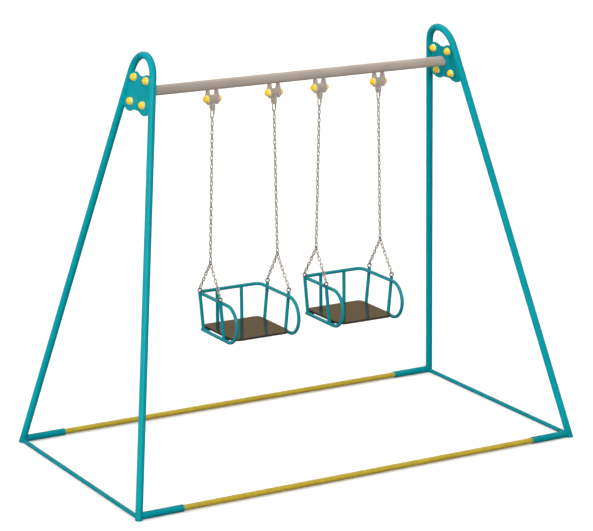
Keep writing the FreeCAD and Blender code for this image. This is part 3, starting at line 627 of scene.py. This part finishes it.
def seat_chains():
    """Split rings, short chains and eye rings, which move with the seats."""
    for side_name, side in SIDES:
        body = side_name + "_seat"
        rings = Mesh()
        bridles = Mesh()
        eyes = Mesh()
        for _, owner, x, out in hanger_places():
            if owner != side_name:
                continue
            centre = split_ring_centre(x, out)
            rings.rings(torus_rings(centre, SPLIT_RING_R, LINK_WIRE / 2, X_AXIS), True)
            for y_side in (-1, 1):
                eye = Vector((side * SWING_X + out * EYE_U, y_side * POST_Y, EYE_Z))
                eyes.rings(torus_rings(eye, EYE_RING_R, EYE_WIRE_R, Y_AXIS), True)
                eye_top = eye + Z_AXIS * EYE_RING_R
                heading = (eye_top - centre).normalized()
                first = centre + heading * (SPLIT_RING_R - LINK_WIRE / 2 - LINK_GAP / 2)
                last = eye_top + heading * (EYE_WIRE_R + LINK_GAP / 2)
                chain(bridles, first, last, BRIDLE_LINKS, 0.0, y_side * out * 90.0 / (BRIDLE_LINKS - 1))
        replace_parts(rings.piece(side_name + "_round_rings", body, "dark_steel"), side_name + "_split_rings")
        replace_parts(bridles.piece(side_name + "_welded_bridles", body, "zinc_steel"),
                    side_name + "_bridle_chains")
        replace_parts(eyes.piece(side_name + "_round_eyes", body, "dark_steel"),
                    side_name + "_seat_eye_rings")


# --- weld beads -------------------------------------------------------------------------------
def resampled(points, step, closed):
    """The same line with points a small step apart."""
    loop = points + [points[0]] if closed else points
    made = []
    for a, b in zip(loop, loop[1:]):
        count = max(1, round((b - a).length / step))
        made += [a.lerp(b, k / count) for k in range(count)]
    return made if closed else made + [loop[-1]]


def bead(mesh, points, radius, closed, floor=None):
    """A laid weld: a round bead with the ripples of its pools."""
    path = resampled(points, radius * WELD_STEP, closed)
    run = 0.0
    radii = []
    last = path[0]
    for point in path:
        run += (point - last).length
        last = point
        ripple = abs(math.sin(math.pi * run / (radius * WELD_RIPPLE_PITCH)))
        wander = 0.06 * math.sin(run * 310.0) + 0.05 * math.sin(run * 173.0 + 1.3)
        radii.append(radius * (WELD_LOW + WELD_RIPPLE * ripple + wander))
    if not closed:
        radii[0] *= WELD_END
        radii[-1] *= WELD_END
    rings = sweep(path, radii, WELD_SIDES, closed)
    if floor is not None:
        rings = [[Vector((v.x, v.y, max(v.z, floor))) for v in ring] for ring in rings]
    mesh.rings(rings, closed)


def saddle(start, along, branch_r, through, main_dir, main_r, steps=36):
    """Where a round tube's surface meets the surface of another one."""
    e1 = along.orthogonal().normalized()
    e2 = along.cross(e1)
    points = []
    for k in range(steps):
        a = math.tau * k / steps
        p = start + (e1 * math.cos(a) + e2 * math.sin(a)) * branch_r
        w = p - through
        w -= main_dir * w.dot(main_dir)
        d = along - main_dir * along.dot(main_dir)
        qa, qb, qc = d.dot(d), 2 * w.dot(d), w.dot(w) - main_r ** 2
        t = (-qb - math.sqrt(max(qb * qb - 4 * qa * qc, 0.0))) / (2 * qa)
        points.append(p + along * t)
    return points


def on_frame(y, slope, out, side):
    """A point of the leaning A-frame's plane."""
    x = FOOT_X - slope * math.sin(LEAN) + out * math.cos(LEAN)
    return Vector((side * x, y, TIE_Z + slope * math.cos(LEAN) + out * math.sin(LEAN)))


def frame_welds():
    mesh = Mesh()
    for _, side in SIDES:
        for front in (-1, 1):
            foot = Vector((side * FOOT_X, front * FOOT_Y, TIE_Z))
            leg = Vector((-side * math.sin(LEAN), -front * math.tan(LEG_ANGLE), math.cos(LEAN)))
            leg.normalize()
            start = Vector((side * FOOT_X, 0, TIE_Z))
            bead(mesh, saddle(start, Y_AXIS * front, TIE_R, foot, leg, LEG_R), TIE_BEAD, True, WELD_FLOOR)
            rise = (SOCKET_R - TIE_Z) / leg.z
            y = (foot + leg * rise).y
            start = Vector((side * SOCKET_END_X, y, SOCKET_R))
            seam = saddle(start, X_AXIS * side, SOCKET_R, foot, leg, LEG_R, 48)
            bead(mesh, seam, SOCKET_BEAD, True, WELD_FLOOR)
            inward = LEG_R ** 2 - (WEB_T / 2) ** 2
            for out in (-WEB_T / 2, WEB_T / 2):
                ends = []
                for slope in (BEAM_SLOPE + WEB_WELD_LOW, BEAM_SLOPE + WEB_WELD_HIGH):
                    mid = FOOT_Y - slope * math.tan(LEG_ANGLE)
                    edge = mid - math.sqrt(inward) / math.cos(LEG_ANGLE)
                    ends.append(on_frame(front * edge, slope, out, side))
                bead(mesh, ends, PLATE_BEAD, False)
        ellipse = []
        for k in range(48):
            a = math.tau * k / 48
            z = BEAM_Z + BEAM_R * math.sin(a)
            face = -WEB_T / 2 - FLANGE_T
            x = FOOT_X + (face - (z - TIE_Z) * math.sin(LEAN)) / math.cos(LEAN)
            ellipse.append(Vector((side * x, BEAM_R * math.cos(a), z)))
        bead(mesh, ellipse, BEAM_BEAD, True)
    mesh.piece("frame_weld_beads", STAND, "teal_paint", WELD_SHARP_ANGLE)


def ear_welds():
    mesh = Mesh()
    reach = math.asin(EAR_WELD_HALF / BEAM_R)
    for _, _, x, _ in hanger_places():
        for low in (x + EAR_IN, x - EAR_IN - EAR_T):
            loop = []
            for face, order in ((low, range(13)), (low + EAR_T, reversed(range(13)))):
                for k in order:
                    a = reach * (k / 6 - 1)
                    loop.append(Vector((face, BEAM_R * math.sin(a), BEAM_Z - BEAM_R * math.cos(a))))
            bead(mesh, loop, EAR_BEAD, True)
    mesh.piece("hanger_ear_weld_beads", STAND, "grey_paint", WELD_SHARP_ANGLE)


def seat_welds():
    for name, side in SIDES:
        mesh = Mesh()
        seat_x = side * SWING_X
        for hand in (-1, 1):
            rail_x = seat_x + hand * RAIL_U
            rail = Vector((rail_x, 0, LOW_RAIL_Z))
            for y in (-POST_Y, POST_Y):
                top = Vector((seat_x + hand * EYE_U, y, POST_TOP_Z))
                foot = Vector((rail_x, y, LOW_RAIL_Z))
                down = (foot - top).normalized()
                bead(mesh, saddle(top, down, SEAT_R, rail, Y_AXIS, SEAT_R), SEAT_BEAD, True)
                crossing = top + down * ((top.z - RAIL_Z) / -down.z)
                touch = Vector(((crossing.x + rail_x) / 2, y, RAIL_Z))
                bead(mesh, circle(touch, POST_SIDE_R, X_AXIS), POST_SIDE_BEAD, True)
                bead(mesh, circle(top, POST_TOP_R, Z_AXIS), POST_TOP_BEAD, True)
            for y in BEARER_Y:
                start = Vector((seat_x, y, LOW_RAIL_Z))
                bead(mesh, saddle(start, X_AXIS * hand, SEAT_R, rail, Y_AXIS, SEAT_R), SEAT_BEAD, True)
            corner = Vector((rail_x, BACK_RAIL_Y - BACK_CORNER_R, RAIL_Z))
            bead(mesh, circle(corner, SEAT_R - 0.0003, Y_AXIS, 32), RAIL_BEAD, True)
            x = seat_x + hand * BACK_POST_U
            foot = Vector((x, BACK_FOOT_Y, BACK_FOOT_Z))
            head = Vector((x, BACK_RAIL_Y, RAIL_Z))
            up = (head - foot).normalized()
            bead(mesh, saddle((head + foot) / 2, up, SEAT_R, head, X_AXIS, SEAT_R), SEAT_BEAD, True)
            bracket = Vector((x, (BEARER_Y[1] + BACK_FOOT_Y) / 2, LOW_RAIL_Z))
            bearer = Vector((x, BEARER_Y[1], LOW_RAIL_Z))
            bead(mesh, saddle(bracket, Y_AXIS, SEAT_R, foot, up, SEAT_R), SEAT_BEAD, True)
            bead(mesh, saddle(bracket, -Y_AXIS, SEAT_R, bearer, X_AXIS, SEAT_R), SEAT_BEAD, True)
        mesh.piece(name + "_seat_weld_beads", name + "_seat", "teal_paint", WELD_SHARP_ANGLE)


# --- plastic covers ---------------------------------------------------------------------------
def cap_profile():
    """Half section of a cover, from the rim of its bore out, over the dome to its middle."""
    ball_r = (CAP_R ** 2 + CAP_DOME ** 2) / (2 * CAP_DOME)
    centre_z = CAP_SKIRT + CAP_DOME - ball_r
    points = [(CAP_BORE_R, CAP_BORE_H), (CAP_BORE_R, CAP_BREAK), (CAP_BORE_R + CAP_BREAK, 0.0)]
    points += [(CAP_R - inset, height) for inset, height in CAP_SKIRT_OUTLINE]
    last = math.asin((CAP_R - CAP_STEP) / ball_r)
    if centre_z > CAP_SKIRT:
        last = math.pi - last
    for k in range(CAP_DOME_STEPS):
        a = last * (1 - k / CAP_DOME_STEPS)
        points.append((ball_r * math.sin(a), centre_z + ball_r * math.cos(a)))
    return points


def cap_mesh(mesh, origin, outward):
    """Adds one cover, and how far in from its rim each point is, which the cover material turns into painted
    light and shade.
    """
    sides = CAP_SIDES
    rings = []
    for radius, height in cap_profile():
        mesh.painted_cap_shade += [1 - radius / CAP_R] * sides
        rings.append(circle(origin + outward * height, radius, outward, sides))
    verts = [p for ring in rings for p in ring]
    faces = []
    for k in range(len(rings) - 1):
        for i in range(sides):
            j = (i + 1) % sides
            faces.append((k * sides + i, k * sides + j, (k + 1) * sides + j, (k + 1) * sides + i))
    top = len(verts)
    verts.append(origin + outward * (CAP_SKIRT + CAP_DOME))
    bottom = len(verts)
    verts.append(origin + outward * CAP_BORE_H)
    mesh.painted_cap_shade += [1.0, 0.0]
    last = (len(rings) - 1) * sides
    for i in range(sides):
        j = (i + 1) % sides
        faces.append((last + i, last + j, top))
        faces.append((j, i, bottom))
    mesh.add(verts, faces)


def covers():
    """Domed covers over the bolts of the end plates and over the hangers' pivot bolts."""
    mesh = Mesh()
    for _, side in SIDES:
        outward = Vector((side * math.cos(LEAN), 0, math.sin(LEAN)))
        for y in (-BOLT_Y, BOLT_Y):
            for slope in (BOLT_RISE - BOLT_S, BOLT_RISE + BOLT_S):
                cap_mesh(mesh, on_frame(y, BEAM_SLOPE + slope, WEB_T / 2, side), outward)
                cap_mesh(mesh, on_frame(y, BEAM_SLOPE + slope, -WEB_T / 2 - FLANGE_T, side), -outward)
    for _, _, x, _ in hanger_places():
        for way in (-1, 1):
            cap_mesh(mesh, Vector((x + way * (EAR_IN + EAR_T), 0, PIVOT_Z)), X_AXIS * way)
    made = mesh.piece("moulded_bolt_covers", STAND, "yellow_plastic")
    # the covers' painted light and shade: a pale rim and a deeper middle
    painted_cap_shade = made.data.attributes.new("painted_cap_shade", "FLOAT", "POINT")
    painted_cap_shade.data.foreach_set("value", mesh.painted_cap_shade)
    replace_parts(made, "bolt_caps")


# --- seat boards ------------------------------------------------------------------------------
def board_outline(inset):
    """Outline of a seat board, drawn in by an inset, with round corners."""
    points = []
    for cx, cy, start in ((1, 1, 0), (-1, 1, 90), (-1, -1, 180), (1, -1, 270)):
        corner = PLANK_BACK_CORNER_R if cy > 0 else PLANK_FRONT_CORNER_R
        radius = corner - inset
        x = cx * (PLANK_HALF_W - corner)
        y = PLANK_BACK_Y - corner if cy > 0 else PLANK_FRONT_Y + corner
        for k in range(13):
            a = math.radians(start + 90 * k / 12)
            points.append((x + radius * math.cos(a), y + radius * math.sin(a)))
    return points


def boards():
    """Seat boards: eased edges, with a fine groove where two plies meet."""
    pitch = PLANK_T / PLIES
    base = PLANK_TOP_Z - PLANK_T
    levels = [(BOARD_FACE_INSET, 0.0), (BOARD_CORNER_INSET, BOARD_CORNER_RISE), (0.0, BOARD_CORNER_H)]
    for k in range(1, PLIES):
        z = k * pitch
        if PLY_GROOVE_CLEAR < z < PLANK_T - PLY_GROOVE_CLEAR:
            levels += [(0.0, z - PLY_GROOVE_HALF), (PLY_GROOVE, z), (0.0, z + PLY_GROOVE_HALF)]
    levels += [(0.0, PLANK_T - BOARD_CORNER_H), (BOARD_CORNER_INSET, PLANK_T - BOARD_CORNER_RISE)]
    levels += [(BOARD_FACE_INSET, PLANK_T)]
    levels = [(BOARD_FLAT_INSET, 0.0)] + levels + [(BOARD_FLAT_INSET, PLANK_T)]
    for name, side in SIDES:
        mesh = Mesh()
        rings = [[Vector((side * SWING_X + x, y, base + z)) for x, y in board_outline(inset)]
                 for inset, z in levels]
        mesh.rings(rings, False)
        board = mesh.piece(name + "_seat_board", name + "_seat", "plywood", BOARD_SHARP_ANGLE)
        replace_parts(board, name + "_seat_plank")


# --- the rest keep the CAD shape with rounded edges -------------------------------------------
def finished_nodes():
    """Rounds the edges of the other nodes, each by its own width."""
    widths = {"a_frame_tube": 0.0006, "ground_tie": 0.0003, "ground_sockets": 0.0007, "web_plate": 0.0009,
              "beam_flange": 0.0009, "seat_back_rail": 0.0003, "seat_posts": 0.0003,
              "seat_bearers": 0.0003, "seat_plank_screws": 0.0003, "seat_plank_washers": 0.0002}
    for name, _ in SIDES:
        for part, width in widths.items():
            refined(name + "_" + part, width)
        refined(name + "_seat_side_hoops", 0.0003)
    for hanger, _, _, _ in hanger_places():
        refined(hanger + "_hanger_housing", 0.0012)
        refined(hanger + "_hanger_bushes", 0.0004)
        refined(hanger + "_quick_link_sleeve", 0.0005)
    for part, width in {"front_ground_tube": 0.0004, "back_ground_tube": 0.0004, "crossbeam": 0.0004,
                        "ground_socket_screws": 0.0006, "hanger_ears": 0.0009, "flange_bolts": 0.0006,
                        "flange_nuts_and_washers": 0.0005, "hanger_pivot_bolts": 0.0006,
                        "hanger_pivot_nuts_and_washers": 0.0005}.items():
        refined(part, width)


# --- studio -----------------------------------------------------------------------------------
def floor():
    material, tree, shader = new_material("studio_floor")
    coords = node(tree, "ShaderNodeTexCoord").outputs["Object"]
    patches = noise(tree, coords, 0.6, 2.0)
    tone = ramp(tree, patches, ((0.3, (0.86, 0.86, 0.855)), (0.7, (0.875, 0.875, 0.87))))
    tree.links.new(tone, shader.inputs["Base Color"])
    shader.inputs["Roughness"].default_value = 0.9
    shader.inputs["Specular IOR Level"].default_value = 0.1
    bm = bmesh.new()
    bmesh.ops.create_grid(bm, x_segments=8, y_segments=8, size=FLOOR_HALF)
    mesh = bpy.data.meshes.new("studio_floor")
    bm.to_mesh(mesh)
    bm.free()
    mesh.materials.append(material)
    made = bpy.data.objects.new("studio_floor", mesh)
    bpy.context.scene.collection.objects.link(made)
    made.location.z = -FLOOR_DROP
    made.visible_diffuse = False
    made.visible_glossy = False


def backdrop():
    """A plain pale wall far round the floor; it is only seen, and neither lights nor shades."""
    material, _, shader = new_material("studio_backdrop")
    shader.inputs["Base Color"].default_value = (0.0, 0.0, 0.0, 1.0)
    shader.inputs["Specular IOR Level"].default_value = 0.0
    shader.inputs["Emission Color"].default_value = (1.0, 1.0, 1.0, 1.0)
    shader.inputs["Emission Strength"].default_value = 1.0
    sides = 64
    verts = []
    for z in (BACKDROP_FOOT, BACKDROP_H):
        for i in range(sides):
            a = math.tau * i / sides
            verts.append((BACKDROP_R * math.cos(a), BACKDROP_R * math.sin(a), z))
    faces = [(i, (i + 1) % sides, sides + (i + 1) % sides, sides + i) for i in range(sides)]
    mesh = bpy.data.meshes.new("studio_backdrop")
    mesh.from_pydata(verts, [], faces)
    mesh.materials.append(material)
    made = bpy.data.objects.new("studio_backdrop", mesh)
    bpy.context.scene.collection.objects.link(made)
    made.visible_diffuse = False
    made.visible_glossy = False
    made.visible_transmission = False
    made.visible_shadow = False


def world():
    """Soft box of light: bright overhead, warm and dim round the walls, dark below."""
    made = bpy.data.worlds.new("studio")
    bpy.context.scene.world = made
    made.use_nodes = True
    tree = made.node_tree
    background = tree.nodes["Background"]
    direction = node(tree, "ShaderNodeTexCoord").outputs["Generated"]
    height = node(tree, "ShaderNodeSeparateXYZ", {"Vector": direction}).outputs["Z"]
    level = remap(tree, height, -1.0, 1.0, 0.0, 1.0)
    sky = ramp(tree, level, ((0.0, (0.16, 0.16, 0.16)), (0.42, (0.26, 0.25, 0.24)),
                             (0.56, (0.42, 0.33, 0.20)), (0.66, (0.51, 0.39, 0.23)),
                             (0.80, (0.90, 0.90, 0.90)), (1.0, (1.0, 1.0, 1.0))))
    tree.links.new(sky, background.inputs["Color"])
    background.inputs["Strength"].default_value = SKY_STRENGTH


def lights():
    """A soft key from the front left, its narrow glint, and two shadowless fills."""
    for name, energy, spread, heading, shadow, gloss in SUNS:
        data = bpy.data.lights.new(name, "SUN")
        data.energy = energy
        data.angle = math.radians(spread)
        data.color = LIGHT_TINT
        data.use_shadow = shadow
        made = bpy.data.objects.new(name, data)
        bpy.context.scene.collection.objects.link(made)
        made.rotation_mode = "QUATERNION"
        made.rotation_quaternion = Vector(heading).to_track_quat("-Z", "Y")
        made.visible_glossy = gloss
        made.visible_diffuse = not gloss


def camera():
    data = bpy.data.cameras.new("camera")
    data.sensor_width = CAMERA_SENSOR
    data.lens = CAMERA_LENS
    data.clip_end = CAMERA_REACH
    made = bpy.data.objects.new("camera", data)
    bpy.context.scene.collection.objects.link(made)
    made.location = CAMERA_PLACE
    made.rotation_mode = "QUATERNION"
    made.rotation_quaternion = Vector(CAMERA_HEADING).to_track_quat("-Z", "Y")
    bpy.context.scene.camera = made


hung_parts()
seat_chains()
frame_welds()
ear_welds()
seat_welds()
covers()
boards()
finished_nodes()
floor()
backdrop()
world()
lights()
camera()
bpy.context.scene.view_settings.view_transform = "Standard"
bpy.context.scene.view_settings.look = "None"
